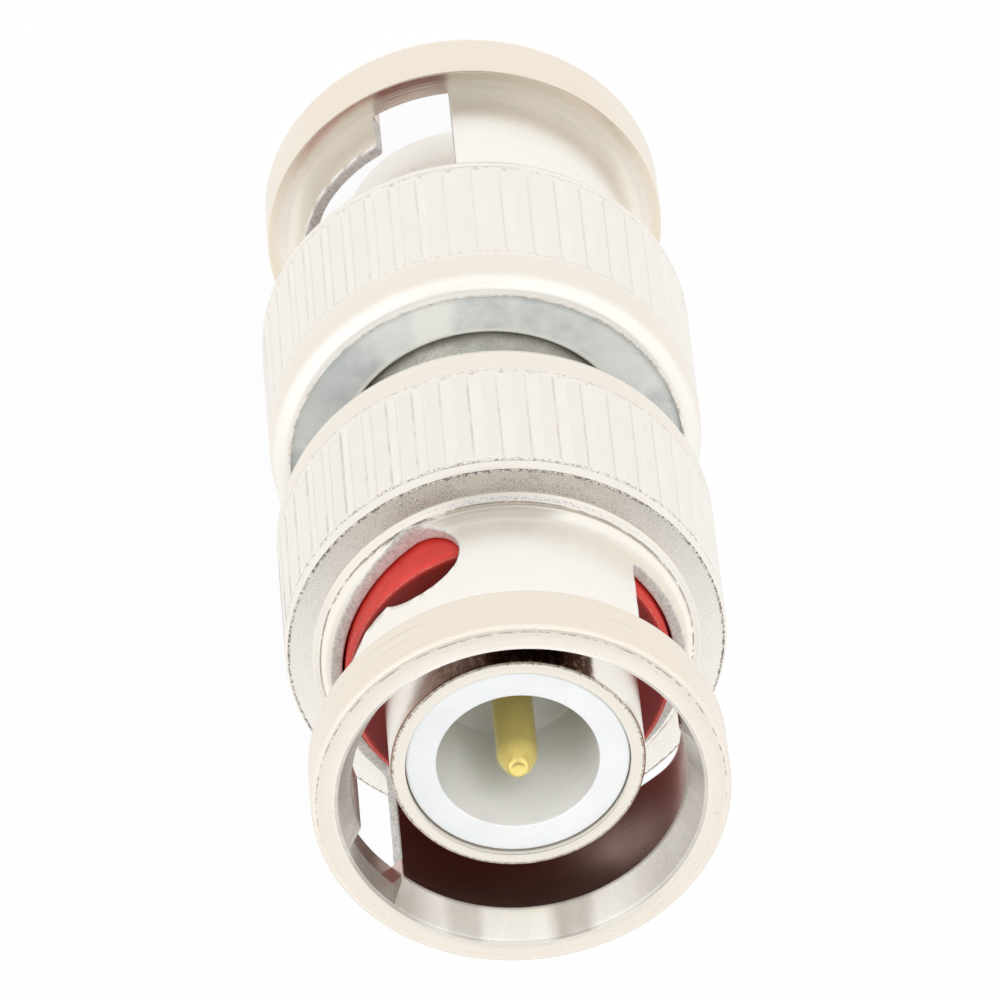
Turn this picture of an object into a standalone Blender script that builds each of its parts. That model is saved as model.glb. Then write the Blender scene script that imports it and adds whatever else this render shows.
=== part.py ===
"""Coaxial bayonet plug-to-plug adapter.

One turned body carries a plug at each end.  Each plug has an outer contact sleeve, a white insulator
cup, one end of a shared centre pin, a silicone gasket, and a coupling nut with two bayonet slots.
The nut turns on the body, and it can be pulled a little way out against two wave washers.

The adapter stands on its lower nut.  The axis is +Z and the origin is the centre of the lower nut's
front face.  Each end is drawn in a frame of its own: its origin is the centre of that end's front
face, local +Z points out of the mouth, and "depth" is the distance from the front face inwards.
Lengths are in metres and angles in degrees.
"""

from math import ceil, cos, pi, radians, sin

import bmesh
import bpy
from mathutils import Matrix, Vector

# Radii, from the outer contact outwards
SLEEVE_RADIUS = 0.00410
SLEEVE_WALL = 0.00048
TUBE_STEP = 0.00062
NECK_CLEARANCE = 0.00065
NECK_WALL = 0.00038
RING_FLANGE = 0.00097
BARREL_STEP = 0.00145
BARREL_WALL = 0.00085
LIP_WALL = 0.00040
LIP_OVERHANG = 0.00030

# Coupling nut, along the axis
RING_LENGTH = 0.00200
RING_CHAMFER = 0.00017
MOUTH_CHAMFER_DEPTH = 0.00115
MOUTH_FLARE = 0.00050
NECK_LENGTH = 0.00590
NECK_FLARE_LENGTH = 0.00068
NECK_FLARE_HEIGHT = 0.00032
NECK_STEP_LENGTH = 0.00027
NECK_STEP_HEIGHT = 0.00018
BARREL_LENGTH = 0.00710
BARREL_CHAMFER = 0.00028
FRONT_WALL = 0.00230
SHOULDER_LENGTH = 0.00090
SHOULDER_DROP = 0.00060
LIP_THICKNESS = 0.00025
NUT_GAP = 0.00345

# Straight knurl on the barrel
FLUTE_COUNT = 48
FLUTE_WIDTH = 0.00034
FLUTE_DEPTH = 0.00014
FLUTE_START = 0.00065
FLUTE_LENGTH = 0.00475
FLUTE_RUN_OUT = 0.00030

# Bayonet slots, as seen on the neck's outer surface
SLOT_COUNT = 2
ENTRY_WIDTH = 0.00266
ENTRY_CORNER = 0.00035
GROOVE_DEPTH = 0.00048
GROOVE_RUN_OUT = 0.00020
LOCKING_TURN = 89.8
DETENT_RADIUS = 0.00162
RAMP_LEAD = 0.00165
REAR_RISE = 0.00088
HUMP_TURN = 44.0
HUMP_WIDTH = 38.5

# Body and what it holds
SLEEVE_RECESS = 0.00170
SLEEVE_RIM = 0.00010
LINE_BORE_RADIUS = 0.00230
FLANGE_LAND = 0.00160
SNAP_GROOVE_DEPTH = 0.00045
GASKET_LENGTH = 0.00218
GASKET_ROUNDING = 0.00018
INSULATOR_RECESS = 0.00185
INSULATOR_WALL = 0.00098
INSULATOR_LENGTH = 0.00690
INSULATOR_CHAMFER = 0.00010
CAVITY_DEPTH = 0.00495

# Centre contact
PIN_RADIUS = 0.000667
PIN_TIP_RADIUS = 0.00030
PIN_TIP_LENGTH = 0.00090
PIN_RECESS = 0.00140
SHAFT_STEP = 0.00033

# Retaining stack inside the barrel
SNAP_RING_THICKNESS = 0.00060
SNAP_RING_GAP = 32.0
SLIP_WASHER_THICKNESS = 0.00035
WAVE_THICKNESS = 0.00025
WAVE_WASHERS = 2
WAVES = 3
THRUST_WASHER_THICKNESS = 0.00080

# Clearances: turning parts, parts that seat along the axis, and parts pressed or fitted together
RUNNING_CLEARANCE = 0.00008
SEAT_CLEARANCE = 0.00005
FIT_CLEARANCE = 0.00002

# How each nut is turned on the body
UPPER_NUT_TURN = 27.9
LOWER_NUT_TURN = 104.0

# Points round a circle, and how the cutters are sliced and how far they reach into open space
NUT_POINTS = 48
BORE_POINTS = 36
PIN_POINTS = 20
WAVE_POINTS = 24
SLOT_STRIP = 5.0
CUTTER_REACH = 0.00050

# Radii that follow
sleeve_bore = SLEEVE_RADIUS - SLEEVE_WALL
tube_radius = SLEEVE_RADIUS + TUBE_STEP
neck_bore = tube_radius + NECK_CLEARANCE
neck_radius = neck_bore + NECK_WALL
ring_radius = neck_radius + RING_FLANGE
flare_radius = neck_radius + NECK_FLARE_HEIGHT
step_radius = flare_radius + NECK_STEP_HEIGHT
barrel_radius = neck_radius + BARREL_STEP
barrel_bore = barrel_radius - BARREL_WALL
washer_seat_radius = barrel_radius - LIP_WALL
lip_bore = washer_seat_radius - LIP_OVERHANG
washer_bore = tube_radius + RUNNING_CLEARANCE
ring_pack_radius = barrel_bore - 2 * RUNNING_CLEARANCE
snap_groove_radius = tube_radius - SNAP_GROOVE_DEPTH
insulator_radius = sleeve_bore - FIT_CLEARANCE
cavity_radius = insulator_radius - INSULATOR_WALL
shaft_radius = PIN_RADIUS + SHAFT_STEP

# Depths that follow
neck_end = RING_LENGTH + NECK_LENGTH
step_front = neck_end - NECK_STEP_LENGTH
nut_length = neck_end + BARREL_LENGTH
nut_shoulder = neck_end + FRONT_WALL
lip_face = nut_length - LIP_THICKNESS
washer_back = lip_face - SEAT_CLEARANCE
washer_front = washer_back - THRUST_WASHER_THICKNESS
washer_step = washer_front - SEAT_CLEARANCE
snap_front = nut_shoulder + SEAT_CLEARANCE
snap_back = snap_front + SNAP_RING_THICKNESS
slip_front = snap_back + SEAT_CLEARANCE
slip_back = slip_front + SLIP_WASHER_THICKNESS
wave_height = (washer_front - slip_back - (WAVE_WASHERS + 1) * SEAT_CLEARANCE) / WAVE_WASHERS
flange_front = nut_shoulder - FLANGE_LAND
gasket_back = flange_front - SEAT_CLEARANCE
gasket_front = gasket_back - GASKET_LENGTH
insulator_back = INSULATOR_RECESS + INSULATOR_LENGTH
insulator_seat = insulator_back + SEAT_CLEARANCE
cavity_floor = INSULATOR_RECESS + CAVITY_DEPTH
adapter_length = 2 * nut_length + NUT_GAP

# Slot sizes that follow
entry_angle = ENTRY_WIDTH / neck_radius * 180 / pi
detent_depth = step_front - DETENT_RADIUS
ramp_depth = RING_LENGTH + RAMP_LEAD
slot_front = RING_LENGTH - FIT_CLEARANCE


def circle(radius, depth, points):
    """One ring of a turned piece: points (angle, radius, depth) evenly spread round the axis."""
    return [(2 * pi * k / points, radius, depth) for k in range(points)]


def fluted_circle(radius, depth, cut):
    """One ring of the knurl: each flute has two edges on the radius and a root that lies lower."""
    half = FLUTE_WIDTH / 2 / radius
    ring = []
    for k in range(FLUTE_COUNT):
        middle = 2 * pi * (k + 0.5) / FLUTE_COUNT
        ring += [(middle - half, radius, depth), (middle, radius - cut, depth), (middle + half, radius, depth)]
    return ring


def wave_circle(radius, depth, swing, phase):
    """One ring of a wave washer: its depth swings about the middle, WAVES times in one turn."""
    return [(t, r, d + swing * cos(WAVES * t + phase)) for t, r, d in circle(radius, depth, WAVE_POINTS)]


def stitch(bm, first, second):
    """Close the band between two rings of vertices, which may have different numbers of points.

    Both rings are walked round once by angle, and the ring whose next point comes first moves on."""
    ring_a, angles_a = first
    ring_b, angles_b = second
    a, b = 0, 0
    while a < len(ring_a) or b < len(ring_b):
        next_a = angles_a[a + 1] if a < len(ring_a) else 4 * pi
        next_b = angles_b[b + 1] if b < len(ring_b) else 4 * pi
        here_a = ring_a[a % len(ring_a)]
        here_b = ring_b[b % len(ring_b)]
        if abs(next_a - next_b) < 1e-6:
            a, b = a + 1, b + 1
            bm.faces.new((here_a, ring_a[a % len(ring_a)], ring_b[b % len(ring_b)], here_b))
        elif next_a < next_b:
            a += 1
            bm.faces.new((here_a, ring_a[a % len(ring_a)], here_b))
        else:
            b += 1
            bm.faces.new((here_a, ring_b[b % len(ring_b)], here_b))


def add_ring(bm, ring):
    """Add one ring's vertices, and give them with their angles, which end a full turn on."""
    vertices = [bm.verts.new((r * cos(t), r * sin(t), -depth)) for t, r, depth in ring]
    angles = [t for t, _, _ in ring]
    return vertices, angles + [angles[0] + 2 * pi]


def turned(name, rings):
    """A hollow piece turned on the axis: each ring is joined to the next, and the last to the first."""
    bm = bmesh.new()
    loops = [add_ring(bm, ring) for ring in rings]
    for k, loop in enumerate(loops):
        stitch(bm, loop, loops[(k + 1) % len(loops)])
    return finished(name, bm)


def turned_rod(name, rings):
    """A solid rod turned on the axis, closed by a flat face at each end."""
    bm = bmesh.new()
    loops = [add_ring(bm, ring) for ring in rings]
    for loop, following in zip(loops, loops[1:]):
        stitch(bm, loop, following)
    bm.faces.new(loops[0][0])
    bm.faces.new(loops[-1][0])
    return finished(name, bm)


def turned_section(name, profile, points=BORE_POINTS):
    """A hollow piece turned from a plain profile of (radius, depth) points."""
    return turned(name, [circle(radius, depth, points) for radius, depth in profile])


def finished(name, bm):
    """Turn a closed bmesh into a mesh whose faces point outwards and whose round faces are smooth."""
    bmesh.ops.recalc_face_normals(bm, faces=bm.faces)
    mesh = bpy.data.meshes.new(name)
    bm.to_mesh(mesh)
    bm.free()
    mesh.shade_smooth()
    mesh.set_sharp_from_angle(angle=radians(30))
    return mesh


def nut_mesh():
    """The coupling nut before its slots are cut: front ring, neck, knurled barrel and turned-in lip."""
    flutes_front = neck_end + FLUTE_START
    flutes_back = flutes_front + FLUTE_LENGTH
    flare = []
    flare_steps = 3
    for k in range(flare_steps + 1):
        turn = pi / 2 * k / flare_steps
        radius = neck_radius + NECK_FLARE_HEIGHT * (1 - cos(turn))
        flare.append((radius, step_front - NECK_FLARE_LENGTH * (1 - sin(turn))))
    front = [
        (neck_bore + MOUTH_FLARE, 0.0),
        (ring_radius - RING_CHAMFER, 0.0),
        (ring_radius, RING_CHAMFER),
        (ring_radius, RING_LENGTH - RING_CHAMFER / 2),
        (ring_radius - RING_CHAMFER / 2, RING_LENGTH),
        (neck_radius, RING_LENGTH),
        *flare,
        (step_radius, step_front + NECK_STEP_LENGTH / 3),
        (step_radius, neck_end),
        (barrel_radius - BARREL_CHAMFER, neck_end + BARREL_CHAMFER / 2),
        (barrel_radius, neck_end + 1.5 * BARREL_CHAMFER),
    ]
    knurl = [
        (flutes_front, 0.0),
        (flutes_front + FLUTE_RUN_OUT, FLUTE_DEPTH),
        (flutes_back - FLUTE_RUN_OUT, FLUTE_DEPTH),
        (flutes_back, 0.0),
    ]
    shoulder = []
    shoulder_steps = 3
    for k in range(shoulder_steps + 1):
        turn = pi / 2 * k / shoulder_steps
        radius = barrel_radius - SHOULDER_DROP * (1 - cos(turn))
        shoulder.append((radius, nut_length - SHOULDER_LENGTH * (1 - sin(turn))))
    inside = [
        (lip_bore, nut_length),
        (lip_bore, lip_face),
        (washer_seat_radius, lip_face),
        (washer_seat_radius, washer_step),
        (barrel_bore, washer_step),
        (barrel_bore, nut_shoulder),
        (neck_bore, nut_shoulder),
        (neck_bore, MOUTH_CHAMFER_DEPTH),
    ]
    rings = [circle(radius, depth, NUT_POINTS) for radius, depth in front]
    rings += [fluted_circle(barrel_radius, depth, cut) for depth, cut in knurl]
    rings += [circle(radius, depth, NUT_POINTS) for radius, depth in shoulder]
    rings += [circle(radius, depth, BORE_POINTS) for radius, depth in inside]
    return turned("coupling_nut", rings)


def slot_outline():
    """The slot on the unrolled neck, as (angle, depth) points, from the entry's far wall to the detent.

    The rear edge rises in a parabola from the entry to the top of the round detent.  The front edge
    leaves the detent over a hump and falls in a half cosine to the ramp, which runs to the entry."""
    centre = entry_angle / 2 + LOCKING_TURN
    angle_of = 180 / pi / neck_radius
    rear_start = detent_depth + DETENT_RADIUS - REAR_RISE
    corner_angle = ENTRY_CORNER * angle_of
    outline = [(0.0, slot_front)]
    corner_steps = 4
    for k in range(corner_steps):
        turn = pi / 2 * k / corner_steps
        outline.append((corner_angle * (1 - cos(turn)), rear_start - ENTRY_CORNER * (1 - sin(turn))))
    rear_steps = 9
    for k in range(rear_steps):
        share = k / rear_steps
        angle = corner_angle + (centre - corner_angle) * share
        outline.append((angle, rear_start + REAR_RISE * share**2))
    detent_steps = 12
    for k in range(detent_steps + 1):
        turn = (pi + radians(HUMP_TURN)) * k / detent_steps
        angle = centre + DETENT_RADIUS * sin(turn) * angle_of
        outline.append((angle, detent_depth + DETENT_RADIUS * cos(turn)))
    hump_angle, hump_depth = outline[-1]
    hump_steps = 5
    for k in range(1, hump_steps + 1):
        share = k / hump_steps
        fallen = (1 - cos(pi * share)) / 2
        outline.append((hump_angle - HUMP_WIDTH * share, hump_depth + (ramp_depth - hump_depth) * fallen))
    return outline + [(entry_angle, ramp_depth), (entry_angle, slot_front)]


def wrapped_cutter(name, outline, inner, outer):
    """A curved plate for cutting: the outline is drawn flat, sliced into strips, given its thickness,
    wrapped round the axis, and repeated for each slot.  Angles run clockwise, seen from the mouth."""
    bm = bmesh.new()
    bm.faces.new([bm.verts.new((angle, depth, 0.0)) for angle, depth in outline])
    first_angle = min(angle for angle, _ in outline)
    last_angle = max(angle for angle, _ in outline)
    strips = ceil((last_angle - first_angle) / SLOT_STRIP)
    for k in range(1, strips):
        at = Vector((first_angle + (last_angle - first_angle) * k / strips, 0.0, 0.0))
        everything = bm.verts[:] + bm.edges[:] + bm.faces[:]
        bmesh.ops.bisect_plane(bm, geom=everything, dist=1e-9, plane_co=at, plane_no=Vector((1, 0, 0)))
    raised = bmesh.ops.extrude_face_region(bm, geom=bm.faces[:])
    lifted = {item for item in raised["geom"] if isinstance(item, bmesh.types.BMVert)}
    for vertex in bm.verts:
        angle = radians(entry_angle / 2 - vertex.co.x)
        radius = outer if vertex in lifted else inner
        vertex.co = Vector((radius * cos(angle), radius * sin(angle), -vertex.co.y))
    one_slot = bm.verts[:] + bm.edges[:] + bm.faces[:]
    for k in range(1, SLOT_COUNT):
        copied = bmesh.ops.duplicate(bm, geom=one_slot)
        vertices = [item for item in copied["geom"] if isinstance(item, bmesh.types.BMVert)]
        turn = Matrix.Rotation(2 * pi * k / SLOT_COUNT, 4, "Z")
        bmesh.ops.transform(bm, matrix=turn, verts=vertices)
    return finished(name, bm)


def slot_cutter_mesh():
    """The slots through the neck."""
    return wrapped_cutter("slot_cutter", slot_outline(), neck_bore - CUTTER_REACH, step_radius)


def groove_cutter_mesh():
    """The entry grooves, which run inside the ring from the mouth to the slots."""
    back = RING_LENGTH + GROOVE_RUN_OUT
    outline = [(0.0, -CUTTER_REACH), (entry_angle, -CUTTER_REACH), (entry_angle, back), (0.0, back)]
    return wrapped_cutter("groove_cutter", outline, neck_bore - CUTTER_REACH, neck_bore + GROOVE_DEPTH)


def thrust_washer_mesh():
    """The flat washer that the nut's lip holds, and on which the nut turns."""
    outer = washer_seat_radius - RUNNING_CLEARANCE
    profile = [(outer, washer_front), (outer, washer_back), (washer_bore, washer_back), (washer_bore, washer_front)]
    return turned_section("thrust_washer", profile)


def slip_washer_mesh():
    """The flat washer between the snap ring and the wave washers."""
    profile = [
        (ring_pack_radius, slip_front),
        (ring_pack_radius, slip_back),
        (washer_bore, slip_back),
        (washer_bore, slip_front),
    ]
    return turned_section("slip_washer", profile)


def wave_washer_mesh(number):
    """A wave washer.  Each one is half a wave out of step with the last, so that they meet at crests."""
    middle = slip_back + SEAT_CLEARANCE + wave_height / 2 + number * (wave_height + SEAT_CLEARANCE)
    swing = (wave_height - WAVE_THICKNESS) / 2
    phase = pi * number
    inner = washer_bore + RUNNING_CLEARANCE
    outer = ring_pack_radius - RUNNING_CLEARANCE
    half = WAVE_THICKNESS / 2
    section = [(outer, middle - half), (outer, middle + half), (inner, middle + half), (inner, middle - half)]
    rings = [wave_circle(radius, depth, swing, phase) for radius, depth in section]
    return turned("wave_washer_" + str(number + 1), rings)


def snap_ring_mesh():
    """The open ring in the body's groove that the nut's inner shoulder rests against."""
    inner = snap_groove_radius + SEAT_CLEARANCE
    section = [
        (inner, snap_front),
        (ring_pack_radius, snap_front),
        (ring_pack_radius, snap_back),
        (inner, snap_back),
    ]
    bm = bmesh.new()
    half_gap = radians(SNAP_RING_GAP / 2)
    stations = []
    for k in range(BORE_POINTS + 1):
        t = half_gap + (2 * pi - 2 * half_gap) * k / BORE_POINTS
        stations.append([bm.verts.new((r * cos(t), r * sin(t), -depth)) for r, depth in section])
    for here, following in zip(stations, stations[1:]):
        for k in range(len(section)):
            after = (k + 1) % len(section)
            bm.faces.new((here[k], here[after], following[after], following[k]))
    bm.faces.new(stations[0])
    bm.faces.new(stations[-1])
    return finished("snap_ring", bm)


def gasket_mesh():
    """The silicone gasket that seats on the sleeve, against the body's flange."""
    outer = neck_bore - RUNNING_CLEARANCE
    inner = SLEEVE_RADIUS + FIT_CLEARANCE
    profile = [
        (inner, gasket_front),
        (outer - GASKET_ROUNDING, gasket_front),
        (outer, gasket_front + GASKET_ROUNDING),
        (outer, gasket_back),
        (inner, gasket_back),
    ]
    return turned_section("gasket", profile)


def insulator_mesh():
    """The insulator: a cup with the pin's hole through its floor."""
    hole = PIN_RADIUS + FIT_CLEARANCE
    profile = [
        (cavity_radius, INSULATOR_RECESS),
        (insulator_radius - INSULATOR_CHAMFER, INSULATOR_RECESS),
        (insulator_radius, INSULATOR_RECESS + INSULATOR_CHAMFER),
        (insulator_radius, insulator_back),
    ]
    floor = [(hole, insulator_back), (hole, cavity_floor)]
    rings = [circle(radius, depth, BORE_POINTS) for radius, depth in profile]
    rings += [circle(radius, depth, PIN_POINTS) for radius, depth in floor]
    rings.append(circle(cavity_radius, cavity_floor, BORE_POINTS))
    return turned("insulator", rings)


def far_end(profile):
    """The same profile at the adapter's other end, in the order that carries the line on."""
    return [(radius, adapter_length - depth) for radius, depth in reversed(profile)]


def body_mesh():
    """The body: a tube with a contact sleeve, a gasket seat and a snap ring groove at each end."""
    groove_front = snap_front - SEAT_CLEARANCE
    groove_back = snap_back + SEAT_CLEARANCE
    outside = [
        (sleeve_bore, SLEEVE_RECESS),
        (SLEEVE_RADIUS - SLEEVE_RIM, SLEEVE_RECESS),
        (SLEEVE_RADIUS, SLEEVE_RECESS + SLEEVE_RIM),
        (SLEEVE_RADIUS, flange_front),
        (tube_radius, flange_front),
        (tube_radius, groove_front),
        (snap_groove_radius, groove_front),
        (snap_groove_radius, groove_back),
        (tube_radius, groove_back),
    ]
    inside = [(LINE_BORE_RADIUS, insulator_seat), (sleeve_bore, insulator_seat)]
    return turned_section("body", outside + far_end(outside) + far_end(inside) + inside)


def centre_contact_mesh():
    """The pin that runs from end to end: two rounded tips, and a thicker shaft between the insulators."""
    tip_steps = 3
    end = []
    for k in range(tip_steps + 1):
        share = k / tip_steps
        radius = PIN_TIP_RADIUS + (PIN_RADIUS - PIN_TIP_RADIUS) * sin(pi / 2 * share)
        end.append((radius, PIN_RECESS + PIN_TIP_LENGTH * share))
    end += [(PIN_RADIUS, insulator_seat), (shaft_radius, insulator_seat)]
    rings = [circle(radius, depth, PIN_POINTS) for radius, depth in end + far_end(end)]
    return turned_rod("centre_contact", rings)


def material(name, colour, roughness, metallic):
    """A Principled BSDF of one colour."""
    made = bpy.data.materials.new(name)
    made.use_nodes = True
    shader = made.node_tree.nodes["Principled BSDF"]
    shader.inputs["Base Color"].default_value = (*colour, 1.0)
    shader.inputs["Roughness"].default_value = roughness
    shader.inputs["Metallic"].default_value = metallic
    return made


def frame(name, parent=None, origin=(0.0, 0.0, 0.0), turn=(0.0, 0.0, 0.0)):
    """An empty that carries other objects."""
    empty = bpy.data.objects.new(name, None)
    empty.location = origin
    empty.rotation_euler = turn
    empty.parent = parent
    bpy.context.scene.collection.objects.link(empty)
    return empty


def place(name, mesh, finish, parent):
    """One named object of a mesh, in its parent's frame."""
    if finish.name not in mesh.materials:
        mesh.materials.append(finish)
    item = bpy.data.objects.new(name, mesh)
    item.parent = parent
    bpy.context.scene.collection.objects.link(item)
    return item


def cut(item, name, cutter_mesh, parent):
    """Cut one object by another, which stays hidden as a cutter."""
    cutter = bpy.data.objects.new(name, cutter_mesh)
    cutter.parent = parent
    cutter.hide_render = True
    cutter.display_type = "WIRE"
    bpy.context.scene.collection.objects.link(cutter)
    boolean = item.modifiers.new(name, "BOOLEAN")
    boolean.operation = "DIFFERENCE"
    boolean.solver = "EXACT"
    boolean.object = cutter


def build():
    """Make each mesh once, and place it at both ends."""
    for item in list(bpy.data.objects):
        bpy.data.objects.remove(item, do_unlink=True)

    bright_nickel = material("bright_nickel", (0.83, 0.78, 0.72), 0.24, 1.0)
    dull_nickel = material("dull_nickel", (0.48, 0.49, 0.50), 0.42, 1.0)
    zinc = material("zinc", (0.50, 0.53, 0.55), 0.48, 1.0)
    spring_steel = material("spring_steel", (0.45, 0.45, 0.46), 0.35, 1.0)
    white_insulator = material("white_insulator", (0.90, 0.91, 0.92), 0.40, 0.0)
    red_silicone = material("red_silicone", (0.60, 0.05, 0.04), 0.45, 0.0)
    gold = material("gold", (0.83, 0.64, 0.20), 0.22, 1.0)

    nut = nut_mesh()
    slots = slot_cutter_mesh()
    grooves = groove_cutter_mesh()
    gasket = gasket_mesh()
    insulator = insulator_mesh()
    snap_ring = snap_ring_mesh()
    slip_washer = slip_washer_mesh()
    thrust_washer = thrust_washer_mesh()
    waves = [wave_washer_mesh(number) for number in range(WAVE_WASHERS)]

    top = (0.0, 0.0, adapter_length)
    body_frame = frame("body_frame", None, top)
    place("body", body_mesh(), dull_nickel, body_frame)
    place("centre_contact", centre_contact_mesh(), gold, body_frame)

    ends = [
        ("upper", top, (0.0, 0.0, 0.0), UPPER_NUT_TURN),
        ("lower", (0.0, 0.0, 0.0), (pi, 0.0, 0.0), -LOWER_NUT_TURN),
    ]
    for end, origin, flip, nut_turn in ends:
        fixed = frame(end + "_end", None, origin, flip)
        sliding = frame(end + "_slide", fixed)
        turning = frame(end + "_turn", sliding, turn=(0.0, 0.0, radians(nut_turn)))
        place(end + "_insulator", insulator, white_insulator, fixed)
        place(end + "_gasket", gasket, red_silicone, fixed)
        place(end + "_snap_ring", snap_ring, spring_steel, fixed)
        place(end + "_slip_washer", slip_washer, spring_steel, fixed)
        for number, wave in enumerate(waves):
            place(end + "_wave_washer_" + str(number + 1), wave, spring_steel, fixed)
        place(end + "_thrust_washer", thrust_washer, zinc, sliding)
        nut_object = place(end + "_coupling_nut", nut, bright_nickel, turning)
        cut(nut_object, end + "_slot_cutter", slots, turning)
        cut(nut_object, end + "_groove_cutter", grooves, turning)


build()
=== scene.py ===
"""The looks of a coaxial bayonet plug-to-plug adapter.

Every piece is drawn in the frame of its own end: the angle runs clockwise as seen from the mouth, and
the depth runs inwards from the front face.  Lengths are in millimetres until a mesh is made.
"""

from math import cos, pi, radians, sin

import bmesh
import bpy
import numpy as np
from mathutils import Matrix, Vector


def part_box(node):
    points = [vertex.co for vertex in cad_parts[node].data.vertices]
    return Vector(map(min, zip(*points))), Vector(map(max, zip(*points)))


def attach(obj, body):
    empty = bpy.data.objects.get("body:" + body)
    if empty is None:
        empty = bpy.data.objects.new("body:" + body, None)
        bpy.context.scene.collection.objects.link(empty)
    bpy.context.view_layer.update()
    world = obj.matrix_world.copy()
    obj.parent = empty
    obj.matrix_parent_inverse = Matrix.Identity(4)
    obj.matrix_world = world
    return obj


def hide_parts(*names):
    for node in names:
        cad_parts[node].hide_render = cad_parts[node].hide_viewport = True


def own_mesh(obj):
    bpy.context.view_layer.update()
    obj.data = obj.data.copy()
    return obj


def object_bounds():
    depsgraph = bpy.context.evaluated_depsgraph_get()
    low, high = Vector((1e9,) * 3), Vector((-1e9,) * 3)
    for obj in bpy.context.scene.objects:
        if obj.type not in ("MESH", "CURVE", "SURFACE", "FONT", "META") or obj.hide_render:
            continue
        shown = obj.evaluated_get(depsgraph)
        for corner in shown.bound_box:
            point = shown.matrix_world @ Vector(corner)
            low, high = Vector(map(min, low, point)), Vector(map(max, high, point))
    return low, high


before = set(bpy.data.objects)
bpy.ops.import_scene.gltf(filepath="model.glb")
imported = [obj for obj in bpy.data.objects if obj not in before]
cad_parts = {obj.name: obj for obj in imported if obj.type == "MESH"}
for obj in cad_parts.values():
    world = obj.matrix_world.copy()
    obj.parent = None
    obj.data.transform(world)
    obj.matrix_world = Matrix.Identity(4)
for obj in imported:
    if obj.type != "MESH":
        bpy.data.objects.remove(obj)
cad_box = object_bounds()

MM = 0.001
LENGTH = cad_box[1].z / MM


def depths_of(node):
    """The back and the front of a node, as depths from the upper end."""
    return [LENGTH - corner.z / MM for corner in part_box(node)]


# Places along the axis, from the frame
NUT_LENGTH = depths_of("upper_coupling_nut")[0]
SLEEVE_FRONT = depths_of("body")[1]
PIN_FRONT = depths_of("centre_contact")[1]
CUP_BACK, CUP_FRONT = depths_of("upper_insulator")
GASKET_BACK, GASKET_FRONT = depths_of("upper_gasket")
WASHER_BACK, WASHER_FRONT = depths_of("upper_thrust_washer")
SNAP_BACK, SNAP_FRONT = depths_of("upper_snap_ring")

# Radii
NECK_BORE = 5.37
NECK_RADIUS = 5.75
GROOVE_RADIUS = 5.85
RING_RADIUS = 6.72
RING_MIDDLE = 6.30
MOUTH_RADIUS = 5.87
FLARE_RADIUS = 6.07
STEP_RADIUS = 6.26
BARREL_RADIUS = 7.18
BARREL_BORE = 6.35
FACE_RADIUS = 7.05
WASHER_SEAT = 6.80
LIP_BORE = 6.50
TUBE_RADIUS = 4.72
WASHER_RADIUS = 6.72
WASHER_BORE = 4.80
SLEEVE_RADIUS = 4.10
SLEEVE_BORE = 3.62
GASKET_RADIUS = 5.29
CUP_RADIUS = 3.60
CAVITY_RADIUS = 2.62
LINE_BORE = 2.30
PIN_RADIUS = 0.667
PIN_TIP_RADIUS = 0.30
PIN_TIP_LENGTH = 0.90
SHAFT_RADIUS = 0.997
CAVITY_FLOOR = 6.80

# Depths on the coupling nut
RING_BACK = 2.00
CONE_DEPTH = 1.02
FLARE_START = 6.95
FLARE_END = 7.63
GROOVE_STEP = 0.018
NECK_END = 7.90
NECK_BACK = NECK_END - 0.10
CHAMFER_END = 8.16
SCORE_DEPTH = 8.38
SHOULDER_DEPTH = 10.20
WASHER_STEP = WASHER_FRONT - 0.05
LIP_FACE = WASHER_BACK + 0.05
SHOULDER_WIDTH = 0.60
SHOULDER_LENGTH = 1.0

# Bayonet slots, measured on the neck's outer surface
SLOT_PITCH = pi * NECK_RADIUS
ENTRY_WIDTH = 2.66
ENTRY_CORNER = 0.35
RAMP_DEPTH = 3.65
REAR_START = 6.75
DETENT_DEPTH = 6.01
DETENT_RADIUS = 1.62
DETENT_CENTRE = ENTRY_WIDTH / 2 + radians(89.8) * NECK_RADIUS
HUMP_TURN = radians(44.0)
HUMP_WIDTH = radians(38.5) * NECK_RADIUS
TOOTH_CORNER = 0.16
EDGE_ROUNDING = 0.05
BURR_HEIGHT = 0.014

# The coupling nut's finishes, and how many points its patches have
PLATED, SATIN, CUT, BORE, MOUTH = range(5)
NECK_ROWS = 10
SEAM_POINTS = 27
EDGE_POINTS = 4
FLOOR_POINTS = 13
SLOPE_POINTS = np.array([0.25, 0.5, 0.75])
PLAIN_COLUMNS = 480
INSIDE_COLUMNS = 192

# Knurl
FLUTES = 48
FLUTE_PITCH = 2 * pi / FLUTES
FLUTE_FRONT = 8.47
FLUTE_BACK = 13.34
FLUTE_DEPTH = 0.10
FLUTE_HALF_WIDTH = 0.21
FLUTE_RUN_OUT = 0.42

# Wave washers behind each nut's thrust washer
WAVES = 3
WAVE_THICKNESS = 0.25
WAVE_BORE = 4.88
WAVE_COLUMNS = 180

# How each nut is turned on the body
UPPER_NUT_TURN = 27.9
LOWER_NUT_TURN = 104.0

# Camera
CAMERA_TILT = radians(36.25)
CAMERA_ROLL = radians(5.82)
CAMERA_DISTANCE = 374.8
CAMERA_OFFSET = (-0.317, -0.388)
CAMERA_LENS = 408.5

# Studio
ROOM_LIGHT = 0.50
ROOM_WHITE = (1.0, 0.98, 0.95, 1)
ROOM_DARK = (0.37, 0.36, 0.345, 1)
FLOOR_WHITE = 0.95


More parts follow.
